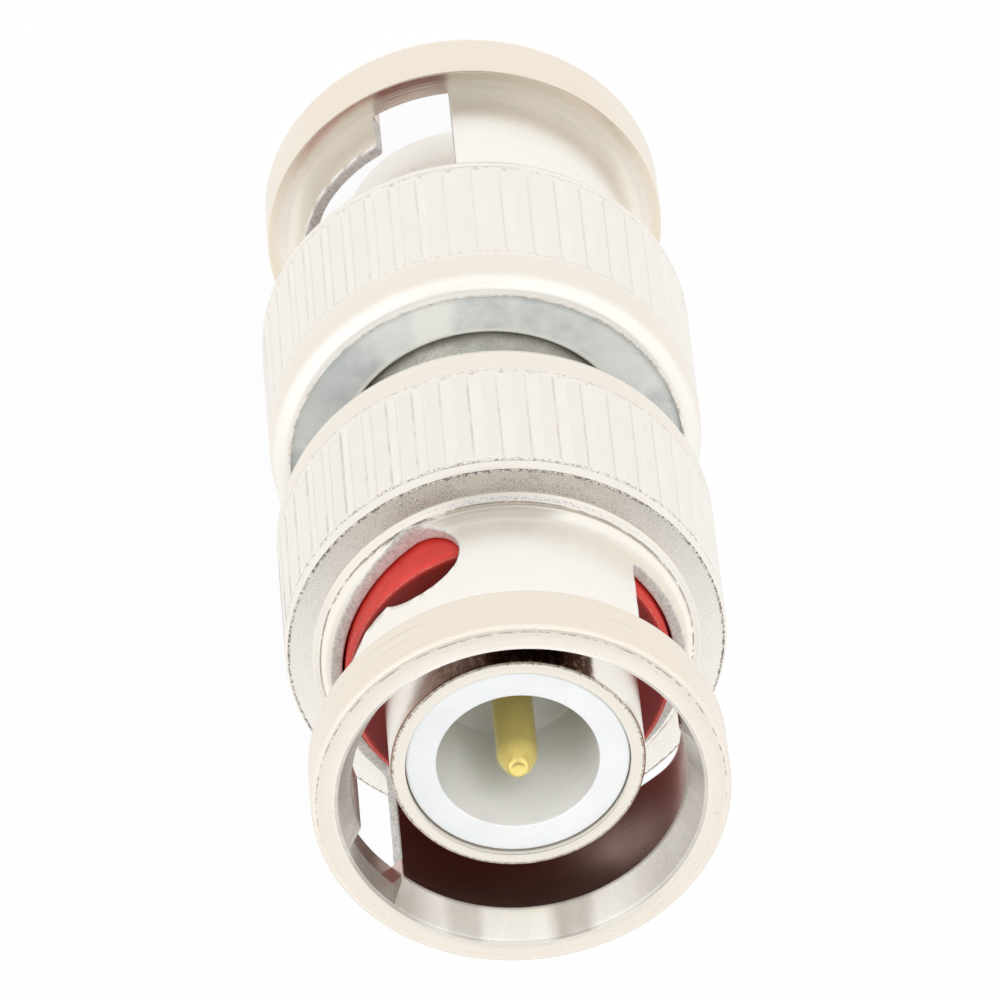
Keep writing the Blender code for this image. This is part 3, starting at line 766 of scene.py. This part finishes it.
def add_neck(shell):
    """The neck with its two slots.  The outer and inner skins are a front strip, from the ring to the
    slot's front edge, and a rear strip, from its rear edge to the neck's back.  Past the slot's closed
    end the two strips meet on a seam.  Returns the columns of each strip and the wall's first column,
    for what joins them."""
    edge, away, turn_back, tooth_end = slot_edge()
    skin = edge + away * EDGE_ROUNDING
    seam = np.linspace(skin[turn_back, 0], SLOT_PITCH - EDGE_ROUNDING, SEAM_POINTS + 1)[1:]
    ends = [skin[turn_back, 0], seam[-1]]
    closing = np.interp(seam, ends, [DETENT_DEPTH, edge[NECK_ROWS, 1]])
    front = skin[turn_back:tooth_end + 1][::-1]
    front_x = np.concatenate([front[:, 0], seam])
    front_depth = np.concatenate([front[:, 1], closing])
    rear = skin[NECK_ROWS:turn_back + 1]
    rear_x = np.concatenate([rear[:, 0], seam])
    rear_depth = np.concatenate([rear[:, 1], closing])
    share = np.linspace(0, 1, NECK_ROWS + 1)[:, None]
    front_rows = RING_BACK + (front_depth[None] - RING_BACK) * share
    flare = FLARE_START + (FLARE_END - FLARE_START) * np.sin(np.linspace(0, pi / 2, 10))
    groove = FLARE_END + np.array([GROOVE_STEP, 0.04])
    stations = np.concatenate([[0.0, 6.0, 6.5, 6.8], flare, groove, [NECK_BACK]])
    share = np.linspace(0, 1, len(stations))[:, None]
    even_rows = rear_depth[None] + (NECK_BACK - rear_depth[None]) * share
    rear_rows = np.maximum(stations[:, None], even_rows)
    burr = BURR_HEIGHT * np.clip(wobble(edge[:, 0] + 3 * edge[:, 1], 20, 90, 7, 4), -0.4, 1.6)
    burr[0] = burr[-1] = 0.0
    angle, radius, depth = slot_wall(edge[:, 0], edge[:, 1], away, burr)
    for turn in (0.0, pi):
        front_angle = front_x / NECK_RADIUS + turn
        rear_angle = rear_x / NECK_RADIUS + turn
        outside = at(rear_angle, neck_radius(rear_rows), rear_rows)
        for points, finish in (
            (at(front_angle, NECK_RADIUS, front_rows), PLATED),
            (outside[:-1], PLATED),
            (outside[-2:], SATIN),
            (at(front_angle, NECK_BORE, front_rows), BORE),
            (at(rear_angle, NECK_BORE, rear_rows), BORE),
            (at(angle + turn, radius, depth), CUT),
        ):
            shell.grid(points, finish, closed=False)
    return front_x, rear_x, angle[:, 0], radius[:, 0]


def both_slots(angles):
    """A half turn of columns, repeated for the second slot."""
    return np.concatenate([angles, angles + pi])


def add_ring(shell, front_x, wall_angle, wall_radius):
    """The front ring with its mouth and entry grooves.

    Every row has the same columns: the groove's floor, the tooth wall, the bore between the slots, and
    the far wall of the next slot.  On the inner rows the walls climb from the bore to the groove's
    floor.  On the row at the ring's back they are the neck's own walls, and on the back face they
    shrink to the points where those walls meet the neck's outside."""
    entry = ENTRY_WIDTH / NECK_RADIUS
    floor_angle = np.linspace(0, entry, FLOOR_POINTS)
    bore_angle = front_x / NECK_RADIUS
    straight = len(wall_radius) - EDGE_POINTS
    inner_tilt = np.concatenate([-wall_angle[:EDGE_POINTS], np.zeros(straight)])
    climb = np.linspace(wall_radius[EDGE_POINTS - 1], GROOVE_RADIUS, straight + 1)[1:]
    inner_climb = np.concatenate([wall_radius[:EDGE_POINTS], climb])
    skin_tilt = np.full(len(wall_angle), EDGE_ROUNDING / NECK_RADIUS)

    def columns(tilt, wall, between):
        angle = np.concatenate([floor_angle, entry + tilt[::-1], bore_angle, pi - tilt])
        middle = np.full(len(front_x), between)
        radius = np.concatenate([np.full(FLOOR_POINTS, GROOVE_RADIUS), wall[::-1], middle, wall])
        return both_slots(angle), np.tile(radius, 2)

    inner_angle, inner_radius = columns(inner_tilt, inner_climb, NECK_BORE)
    last_angle, last_radius = columns(-wall_angle, wall_radius, NECK_BORE)
    back_angle, back_radius = columns(skin_tilt, np.full(len(wall_angle), NECK_RADIUS), NECK_RADIUS)
    bore_depths = [RING_BACK - 0.03, *np.linspace(RING_BACK - 0.15, CONE_DEPTH + 0.12, 5)]
    bore = [(NECK_BORE, depth) for depth in bore_depths]
    cone = rounded([
        (NECK_BORE, CONE_DEPTH + 0.11),
        (NECK_BORE, CONE_DEPTH, 0.1),
        (MOUTH_RADIUS - 0.01, 0.02, 0.04),
        (MOUTH_RADIUS + 0.10, 0.0),
    ], 5)
    inner_rows = np.concatenate([np.array(bore), thickened(cone, 0.1)])
    radius = np.maximum(inner_rows[:, :1], inner_radius[None])
    last_row = at(last_angle, last_radius, RING_BACK)
    rows = np.concatenate([last_row[None], at(inner_angle[None], radius, inner_rows[:, 1:])])
    cone_start = 1 + len(bore)
    shell.grid(rows[:cone_start + 1], BORE)
    shell.grid(rows[cone_start:], MOUTH)
    outer_rows = rounded([
        (MOUTH_RADIUS + 0.10, 0.0),
        (RING_MIDDLE, 0.0, 0.001),
        (RING_RADIUS, 0.0, 0.19),
        (RING_RADIUS, RING_BACK, 0.09),
        (RING_MIDDLE - 0.05, RING_BACK, 0.001),
        (GROOVE_RADIUS + 0.10, RING_BACK),
    ], 7)
    shell.carry(inner_angle, outer_rows)
    outermost = at(inner_angle, outer_rows[-1, 0], RING_BACK)
    shell.grid(np.stack([outermost, at(back_angle, back_radius, RING_BACK)]))


def thickened(profile, step):
    """The same profile with extra points, so that no side is longer than step."""
    sides = np.linalg.norm(np.diff(profile, axis=0), axis=1)
    pieces = [
        np.linspace(a, b, max(2, int(np.ceil(side / step)) + 1))[:-1]
        for a, b, side in zip(profile, profile[1:], sides)
    ]
    return np.concatenate([*pieces, profile[-1:]])


def knurl_columns():
    """Angles round the barrel: crowded in each flute and at its edges, and sparse on the lands."""
    offsets = np.array([0, 0.04, 0.08, 0.12, 0.16, 0.19, 0.215, 0.24, 0.28, 0.38])
    offsets = np.concatenate([-offsets[:0:-1], offsets]) / BARREL_RADIUS
    middles = ENTRY_WIDTH / NECK_RADIUS / 2 + FLUTE_PITCH * (np.arange(FLUTES) + 0.5)
    return np.sort(np.mod((middles[:, None] + offsets[None]).ravel(), 2 * pi))


def across_flutes(angles):
    """How far each angle lies from the middle of its flute, along the barrel's surface."""
    from_middle = angles - ENTRY_WIDTH / NECK_RADIUS / 2 - FLUTE_PITCH / 2
    return (np.mod(from_middle + FLUTE_PITCH / 2, FLUTE_PITCH) - FLUTE_PITCH / 2) * BARREL_RADIUS


def flute_cut(angles, depths):
    """How deep the knurl is cut: a round-bottomed flute whose depth rises along a quarter ellipse at
    each end, so that it narrows to a point there, with softly rounded edges."""
    inside = np.minimum(depths - FLUTE_FRONT, FLUTE_BACK - depths) / FLUTE_RUN_OUT
    inside = np.clip(inside, 0, 1)
    bottom = FLUTE_DEPTH * np.sqrt(1 - (1 - inside) ** 2)
    bowl = FLUTE_DEPTH * (across_flutes(angles) / FLUTE_HALF_WIDTH) ** 2
    lower = bottom - bowl
    softness = 0.010
    return (lower + np.sqrt(lower * lower + softness * softness)) / 2


def flute_beads(angles, depths):
    """The small round swelling that the knurling tool leaves behind each flute, from 0 to 1."""
    size = 0.085
    return np.exp(-(across_flutes(angles) ** 2 + (depths - FLUTE_BACK - 0.03) ** 2) / size ** 2)


def add_barrel(shell, rear_x):
    """The barrel: front face, chamfer, knurl, plain band, shoulder and lip, then the inside back to
    the neck's bore.  The knurl has its own columns, which a band joins to the plain ones."""
    rear_angle = both_slots(rear_x / NECK_RADIUS)
    plain = round_the_axis(PLAIN_COLUMNS)
    inside_columns = round_the_axis(INSIDE_COLUMNS)
    knurled = knurl_columns()
    front = rounded([
        (float(neck_radius(NECK_END - 0.08)), NECK_END - 0.08),
        (STEP_RADIUS, NECK_END, 0.02),
        (STEP_RADIUS + 0.05, NECK_END + 0.01, 0.01),
        (FACE_RADIUS, NECK_END + 0.09, 0.02),
        (FACE_RADIUS + 0.025, NECK_END + 0.14, 0.01),
        (FACE_RADIUS + 0.05, NECK_END + 0.11, 0.01),
        (BARREL_RADIUS, CHAMFER_END, 0.05),
        (BARREL_RADIUS, SCORE_DEPTH - 0.02, 0.01),
        (BARREL_RADIUS - 0.03, SCORE_DEPTH, 0.01),
        (BARREL_RADIUS, SCORE_DEPTH + 0.02, 0.01),
        (BARREL_RADIUS, SCORE_DEPTH + 0.05),
    ], 3)
    is_face = (front[:-1, 0] > STEP_RADIUS + 0.04) & (front[:-1, 0] < FACE_RADIUS + 0.03)
    first = at(rear_angle, neck_radius(NECK_BACK), NECK_BACK)
    shell.band(first, at(plain, *front[0]), rear_angle, plain)
    for k in range(len(front) - 1):
        shell.carry(plain, front[k:k + 2], SATIN if is_face[k] else PLATED)
    run = FLUTE_RUN_OUT
    stations = np.concatenate([
        FLUTE_FRONT - 0.015 + (run + 0.03) * (np.linspace(0, 1, 10) ** 1.6),
        np.linspace(FLUTE_FRONT + run + 0.3, FLUTE_BACK - run - 0.3, 5),
        FLUTE_BACK + 0.02 - (run + 0.04) * (np.linspace(1, 0, 12) ** 1.6),
        FLUTE_BACK + np.array([0.05, 0.08, 0.12, 0.17]),
    ])[:, None]
    radius = BARREL_RADIUS - flute_cut(knurled[None], stations)
    radius = radius + 0.02 * flute_beads(knurled[None], stations)
    shell.band(at(plain, *front[-1]), at(knurled, radius[0], stations[0]), plain, knurled)
    shell.grid(at(knurled[None], radius, stations))
    t = np.linspace(0, pi / 2, 15)
    shoulder = path(BARREL_RADIUS - SHOULDER_WIDTH * (1 - np.cos(t)),
                    NUT_LENGTH - SHOULDER_LENGTH * (1 - np.sin(t)))
    rear = np.array([(BARREL_RADIUS, FLUTE_BACK + 0.24), *shoulder, (LIP_BORE + 0.03, NUT_LENGTH)])
    shell.band(at(knurled, radius[-1], stations[-1]), at(plain, *rear[0]), knurled, plain)
    shell.carry(plain, rear)
    ragged = 0.5 + 0.5 * np.clip(wobble(plain, 30, 200, 14, 2), -1, 1)
    lip = np.array([(LIP_BORE + 0.03, NUT_LENGTH), (LIP_BORE, NUT_LENGTH - 0.03),
                    (LIP_BORE, LIP_FACE + 0.05), (LIP_BORE + 0.02, LIP_FACE)])
    lip_radius = lip[:, :1] + np.array([0, 0.05, 0.06, 0])[:, None] * ragged[None]
    shell.grid(at(plain[None], lip_radius, lip[:, 1:]))
    seat = np.array([(LIP_BORE + 0.02, LIP_FACE), (WASHER_SEAT, LIP_FACE)])
    shell.carry(plain, seat)
    inside = np.array([
        (WASHER_SEAT, WASHER_STEP),
        (BARREL_BORE, WASHER_STEP),
        (BARREL_BORE, SHOULDER_DEPTH),
        (NECK_BORE, SHOULDER_DEPTH),
        (NECK_BORE, SHOULDER_DEPTH - 0.8),
    ])
    shell.band(at(plain, *seat[-1]), at(inside_columns, *inside[0]), plain, inside_columns, BORE)
    shell.carry(inside_columns, inside, BORE)
    shell.band(at(inside_columns, *inside[-1]), at(rear_angle, NECK_BORE, NECK_BACK),
               inside_columns, rear_angle, BORE)


def coupling_nut(name, finishes, turn):
    """The coupling nut: front ring, slotted neck and knurled barrel, as one closed surface."""
    shell = Shell()
    front_x, rear_x, wall_angle, wall_radius = add_neck(shell)
    add_ring(shell, front_x, wall_angle, wall_radius)
    add_barrel(shell, rear_x)
    turn = turn @ Matrix.Rotation(ENTRY_WIDTH / NECK_RADIUS / 2, 4, "Z")
    return shell.mesh(name, finishes, turn)


def gasket_profile():
    """A square-cut ring with rounded outer edges."""
    return rounded([
        (SLEEVE_RADIUS + 0.02, (GASKET_FRONT + GASKET_BACK) / 2),
        (SLEEVE_RADIUS + 0.02, GASKET_FRONT, 0.10),
        (GASKET_RADIUS, GASKET_FRONT, 0.20),
        (GASKET_RADIUS, GASKET_BACK, 0.06),
        (SLEEVE_RADIUS + 0.02, GASKET_BACK, 0.04),
        (SLEEVE_RADIUS + 0.02, (GASKET_FRONT + GASKET_BACK) / 2 + 0.1),
    ], 6)


def cup_profile():
    """The insulator: a cup with a small chamfer at its rim and the pin's hole through its floor."""
    hole = PIN_RADIUS + 0.02
    return rounded([
        (CAVITY_RADIUS, 4.0),
        (CAVITY_RADIUS, CUP_FRONT, 0.06),
        (CUP_RADIUS, CUP_FRONT, 0.12),
        (CUP_RADIUS, CUP_BACK, 0.05),
        (hole, CUP_BACK, 0.05),
        (hole, CAVITY_FLOOR, 0.05),
        (CAVITY_RADIUS, CAVITY_FLOOR, 0.15),
        (CAVITY_RADIUS, 4.2),
    ], 6)


def washer_profile():
    """The thrust washer: flat, with stamped edges, one slightly rolled over."""
    middle = (WASHER_RADIUS + WASHER_BORE) / 2
    return rounded([
        (middle, WASHER_BACK),
        (WASHER_BORE, WASHER_BACK, 0.26),
        (WASHER_BORE, WASHER_FRONT, 0.04),
        (WASHER_RADIUS, WASHER_FRONT, 0.04),
        (WASHER_RADIUS, WASHER_BACK, 0.09),
        (middle + 0.1, WASHER_BACK),
    ], 5)


def wave_washer(name, node, phase, finishes, turn):
    """A wave washer: a flat ring whose depth swings by a cosine, WAVES times in one turn."""
    back, front = depths_of("upper_" + node)
    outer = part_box("upper_" + node)[1].x / MM
    half = WAVE_THICKNESS / 2
    section = rounded([
        (outer - 0.3, half),
        (WAVE_BORE, half, 0.03),
        (WAVE_BORE, -half, 0.03),
        (outer, -half, 0.03),
        (outer, half, 0.03),
        (outer - 0.2, half),
    ], 4)
    section = np.concatenate([section, section[:1]])
    angles = round_the_axis(WAVE_COLUMNS)
    swing = (back - front - WAVE_THICKNESS) / 2 * np.cos(WAVES * angles + phase)
    shell = Shell()
    shell.grid(at(angles[None], section[:, :1], (front + back) / 2 + section[:, 1:] + swing[None]))
    return shell.mesh(name, finishes, turn)


def mirrored(profile):
    """A profile carried on by the same profile at the other end."""
    other = profile[::-1] * (1, -1) + (0, LENGTH)
    return np.concatenate([profile, other])


def body_profile():
    """The body: a contact sleeve, gasket seat and snap ring groove at each end of a plain tube."""
    flange = GASKET_BACK + 0.05
    groove = TUBE_RADIUS - 0.45
    outside = rounded([
        (SLEEVE_BORE, CUP_BACK - 3.0),
        (SLEEVE_BORE, SLEEVE_FRONT, 0.05),
        (SLEEVE_RADIUS, SLEEVE_FRONT, 0.12),
        (SLEEVE_RADIUS, flange, 0.03),
        (TUBE_RADIUS, flange, 0.06),
        (TUBE_RADIUS, SNAP_FRONT - 0.05),
        (groove, SNAP_FRONT - 0.05),
        (groove, SNAP_BACK + 0.05),
        (TUBE_RADIUS, SNAP_BACK + 0.05),
        (TUBE_RADIUS, LENGTH / 2 - 1.0),
    ], 5)
    inside = np.array([(LINE_BORE, CUP_BACK + 0.05), (SLEEVE_BORE, CUP_BACK + 0.05)])
    return np.concatenate([mirrored(outside), mirrored(inside[::-1])[::-1]])


def body_finish(radius, depth):
    """The sleeves have a finish of their own."""
    end_depth = min(depth, LENGTH - depth)
    return 0 if end_depth < GASKET_BACK and radius < SLEEVE_RADIUS + 0.01 else 1


def pin_profile():
    """The centre contact from one tip to the other, ended on the axis: a small flat tip, a quarter
    ellipse up to the pin, and a thicker shaft between the insulators."""
    t = np.linspace(0, pi / 2, 13)
    tip = path(PIN_TIP_RADIUS + (PIN_RADIUS - PIN_TIP_RADIUS) * np.sin(t),
               PIN_FRONT + PIN_TIP_LENGTH * t / (pi / 2))
    tip[0] = (PIN_TIP_RADIUS - 0.02, PIN_FRONT + 0.03)
    cap = np.array([(0.0, PIN_FRONT), (PIN_TIP_RADIUS - 0.12, PIN_FRONT),
                    (PIN_TIP_RADIUS - 0.05, PIN_FRONT + 0.01)])
    shaft = np.array([(PIN_RADIUS, CUP_BACK + 0.05), (SHAFT_RADIUS, CUP_BACK + 0.05)])
    return mirrored(np.concatenate([cap, tip, shaft]))


def build_pieces():
    """Every finished piece, each at both ends where the adapter has two."""
    nut_finishes = [
        material(bright_nickel),
        material(satin_nickel, Metallic=1.0),
        material(cut_nickel, Metallic=0.5),
        material(bore_nickel, Metallic=1.0),
        material(mouth_nickel, Metallic=0.5),
    ]
    dull = material(dull_nickel, Metallic=0.8)
    sleeve = material(sleeve_nickel, Metallic=1.0)
    plate = material(zinc, Metallic=0.35, Anisotropic=0.6)
    white = material(white_insulator, Subsurface_Weight=0.15, Subsurface_Scale=0.0006)
    red = material(red_silicone)
    steel = material(spring_steel, Metallic=1.0)

    upper = end_frame("upper")
    body = turned("adapter_body", body_profile(), [sleeve, dull], upper, 240, body_finish)
    piece("adapter_body", body, "body", "adapter")
    pin = turned("centre_pin", pin_profile(), [material(gold, Metallic=0.8)], upper, 96)
    piece("centre_pin", pin, "centre_contact", "adapter")
    for end, nut_turn in (("upper", UPPER_NUT_TURN), ("lower", -LOWER_NUT_TURN)):
        turn = end_frame(end)
        nut = coupling_nut(end + "_nut", nut_finishes, end_frame(end, nut_turn))
        piece(end + "_nut_shell", nut, end + "_coupling_nut", end + "_nut")
        for name, profile, finish, node, body, slot in (
            ("_cup", cup_profile(), white, "_insulator", "adapter", "white_insulator"),
            ("_seal", gasket_profile(), red, "_gasket", "adapter", "red_silicone"),
            ("_flat_washer", washer_profile(), plate, "_thrust_washer", end + "_washer", "zinc"),
        ):
            mesh = turned(end + name, profile, [finish], turn)
            piece(end + name, mesh, end + node, body)
        for number, phase in ((1, 0.0), (2, pi)):
            name = end + "_wave_spring_" + str(number)
            node = "wave_washer_" + str(number)
            mesh = wave_washer(name, node, phase, [steel], turn)
            wave = piece(name, mesh, end + "_" + node, "adapter")
            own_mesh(wave)
        for node in ("snap_ring", "slip_washer"):
            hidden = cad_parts[end + "_" + node]
            hidden.data.materials.clear()
            hidden.data.materials.append(steel)


def add_camera():
    """The camera looks down on the upper plug, at a tilt from the axis, turned over so that the upper
    plug is at the bottom of the picture."""
    right = Vector((-1, 0, 0))
    down = Vector((0, cos(CAMERA_TILT), sin(CAMERA_TILT)))
    forward = Vector((0, sin(CAMERA_TILT), -cos(CAMERA_TILT)))
    rolled_right = cos(CAMERA_ROLL) * right + sin(CAMERA_ROLL) * down
    rolled_down = cos(CAMERA_ROLL) * down - sin(CAMERA_ROLL) * right
    shift = rolled_right * CAMERA_OFFSET[0] + rolled_down * CAMERA_OFFSET[1] + forward * CAMERA_DISTANCE
    spot = (Vector((0, 0, LENGTH / 2)) - shift) * MM
    axes = Matrix((rolled_right, -rolled_down, -forward)).transposed().to_4x4()
    data = bpy.data.cameras.new("camera")
    data.lens = CAMERA_LENS
    data.sensor_width = 36.0
    data.clip_start = 0.01
    data.clip_end = 20.0
    camera = new_object("camera", data)
    camera.matrix_world = Matrix.Translation(spot) @ axes
    bpy.context.scene.camera = camera


def emptied(owner):
    """A material's or world's node tree with nothing in it."""
    owner.use_nodes = True
    owner.node_tree.nodes.clear()
    return Shader(owner.node_tree)


def seen_directly(shader):
    """1 for rays that come from the camera, a reflection or a refraction, and 0 for lighting rays."""
    rays = [shader.node("ShaderNodeLightPath", output=name) for name in
            ("Is Camera Ray", "Is Glossy Ray", "Is Transmission Ray")]
    return (rays[0] + rays[1] + rays[2]).clamped()


def add_floor():
    """A pale floor that keeps a faint shadow."""
    floor_mesh = bpy.data.meshes.new("floor")
    half = 1.5
    corners = [(-half, -half, -1e-5), (half, -half, -1e-5), (half, half, -1e-5), (-half, half, -1e-5)]
    floor_mesh.from_pydata(corners, [], [(0, 1, 2, 3)])
    floor = new_object("floor", floor_mesh)
    paint = bpy.data.materials.new("floor_paint")
    start = emptied(paint)
    lit = start.node("ShaderNodeBsdfDiffuse", {"Color": (0.90, 0.90, 0.90, 1)})
    glow = start.node("ShaderNodeEmission", {"Color": (1, 1, 1, 1), "Strength": 1.0})
    white_share = seen_directly(start) * FLOOR_WHITE
    both = start.node("ShaderNodeMixShader", {0: white_share, 1: lit, 2: glow})
    start.node("ShaderNodeOutputMaterial", {"Surface": both})
    floor_mesh.materials.append(paint)


def add_room():
    """White all round.  What the metal reflects is a warm white room whose ceiling and middle behind
    the camera are darker."""
    world = bpy.data.worlds.new("studio")
    start = emptied(world)
    direction = start.node("ShaderNodeTexCoord", output="Generated")
    across = direction.part("X").math("ABSOLUTE")
    sideways = direction.part("Y")
    upwards = direction.part("Z")
    clouds = start.node("ShaderNodeTexNoise", {"Vector": direction, "Scale": 4.0, "Detail": 3.0})
    overhead = (upwards + clouds * 0.08).between(0.78, 0.90)
    overhead = overhead * (sideways + clouds * 0.10).below(0.40, 0.54)
    behind = (upwards + clouds * 0.15).between(0.18, 0.36) * sideways.below(-0.60, -0.30)
    behind = behind * (across + clouds * 0.15).below(0.25, 0.60)
    darkness = (overhead + behind * 0.40).clamped()
    room = darkness.mixed(ROOM_WHITE, ROOM_DARK)
    reflected = start.node("ShaderNodeLightPath", output="Is Glossy Ray")
    colour = reflected.mixed((1, 1, 1, 1), room)
    strength = ROOM_LIGHT + seen_directly(start) * (1.0 - ROOM_LIGHT)
    background = start.node("ShaderNodeBackground", {"Color": colour, "Strength": strength})
    start.node("ShaderNodeOutputWorld", {"Surface": background})
    bpy.context.scene.world = world


def add_lamp(name, place, size, power):
    """A soft round lamp that faces the middle of the adapter.  Reflections show the room without it."""
    data = bpy.data.lights.new(name, "AREA")
    data.shape = "DISK"
    data.size = size
    data.energy = power
    lamp = new_object(name, data)
    lamp.visible_glossy = False
    spot = Vector(place)
    lamp.location = spot
    lamp.rotation_mode = "QUATERNION"
    middle = Vector((0, 0, LENGTH / 2 * MM))
    lamp.rotation_quaternion = (spot - middle).to_track_quat("Z", "Y")


bpy.context.scene.view_settings.view_transform = "Standard"
add_camera()
add_floor()
add_room()
add_lamp("key_lamp", (-0.12, -0.36, 0.44), 0.30, 1.9)
add_lamp("fill_lamp", (0.42, -0.05, 0.32), 0.50, 0.8)
build_pieces()
